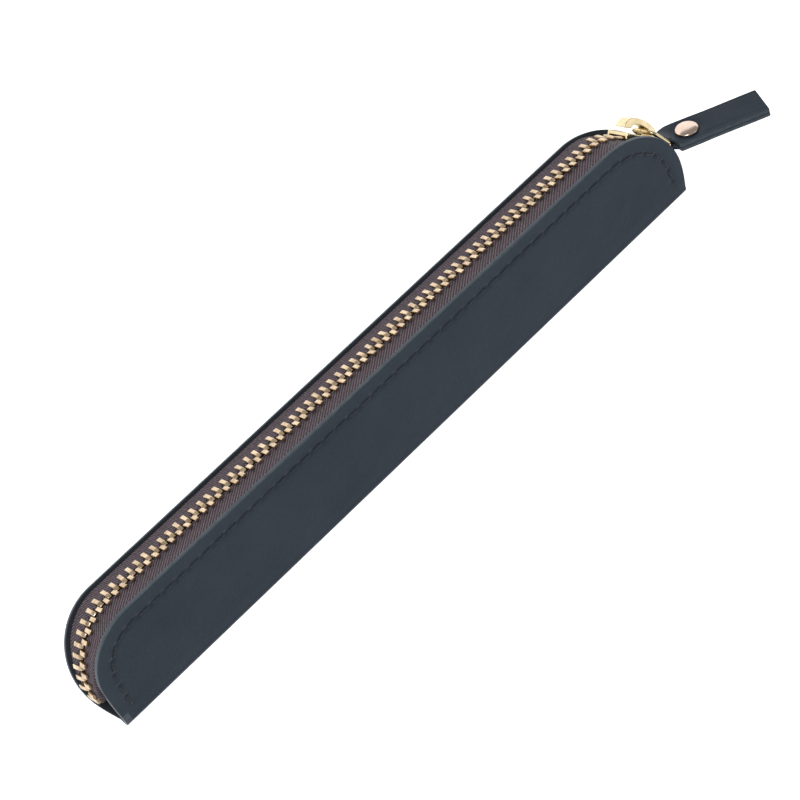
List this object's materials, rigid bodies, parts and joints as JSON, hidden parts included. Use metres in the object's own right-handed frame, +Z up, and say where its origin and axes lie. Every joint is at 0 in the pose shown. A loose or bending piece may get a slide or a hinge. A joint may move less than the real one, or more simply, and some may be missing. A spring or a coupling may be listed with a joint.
{
  "type": "fountain pen case",
  "caption": "Slim folded leather pen case with a stitched metal zip round three sides, lying on one panel, with an open-hook slider, wire pull ring and riveted leather strap",
  "frame": {"origin": "middle of the back panel's outer face, on the surface the case lies on", "axes": "+X along the fold towards the slider, +Y from the fold to the zip, +Z up"},
  "size_m": [0.2258, 0.0297, 0.0188],
  "materials": {
    "leather": "smooth matte dark navy leather",
    "thread": "twisted waxed thread, dark navy",
    "tape": "woven zip tape, dark purplish brown",
    "teeth": "antique champagne gold, satin",
    "slider": "pale champagne gold, polished",
    "rivet": "rose gold, satin"
  },
  "bodies": {
    "back_half": {"back_panel": "leather", "fold_spine": "leather", "back_needle_thread": "thread", "back_bobbin_thread": "thread", "back_tape": "tape", "back_bead": "tape", "back_teeth": "teeth", "back_top_stop": "teeth", "bottom_stop": "teeth"},
    "front_half": {"front_panel": "leather", "front_needle_thread": "thread", "front_bobbin_thread": "thread", "front_tape": "tape", "front_bead": "tape", "front_teeth": "teeth", "front_top_stop": "teeth"},
    "slider": {"slider_body": "slider"},
    "ring": {"pull_ring": "slider"},
    "tab": {"pull_strap": "leather", "rivet_cap": "rivet", "rivet_base": "rivet"}
  },
  "joints": [
    {"name": "case_opens", "type": "hinge", "parent": "back_half", "child": "front_half", "pos_m": [0, -0.014, 0.0017], "axis": [1, 0, 0], "range_deg": [0, 50], "deforming": ["fold_spine"]},
    {"name": "slider_travel", "type": "hinge", "parent": "back_half", "child": "slider", "pos_m": [0.07955, -0.00012, 0.00594], "axis": [0, -0.2924, 0.9563], "range_deg": [0, 46], "deforming": ["front_tape", "back_tape", "front_bead", "back_bead", "front_teeth", "back_teeth", "front_top_stop", "back_top_stop"]},
    {"name": "ring_swing", "type": "hinge", "parent": "slider", "child": "ring", "pos_m": [0.09527, 0.00455, 0.00737], "axis": [0, -0.2924, 0.9563], "range_deg": [0, 60]},
    {"name": "strap_swing", "type": "hinge", "parent": "ring", "child": "tab", "pos_m": [0.09851, -0.00181, 0.00543], "axis": [0, -0.2924, 0.9563], "range_deg": [0, 55]}
  ]
}
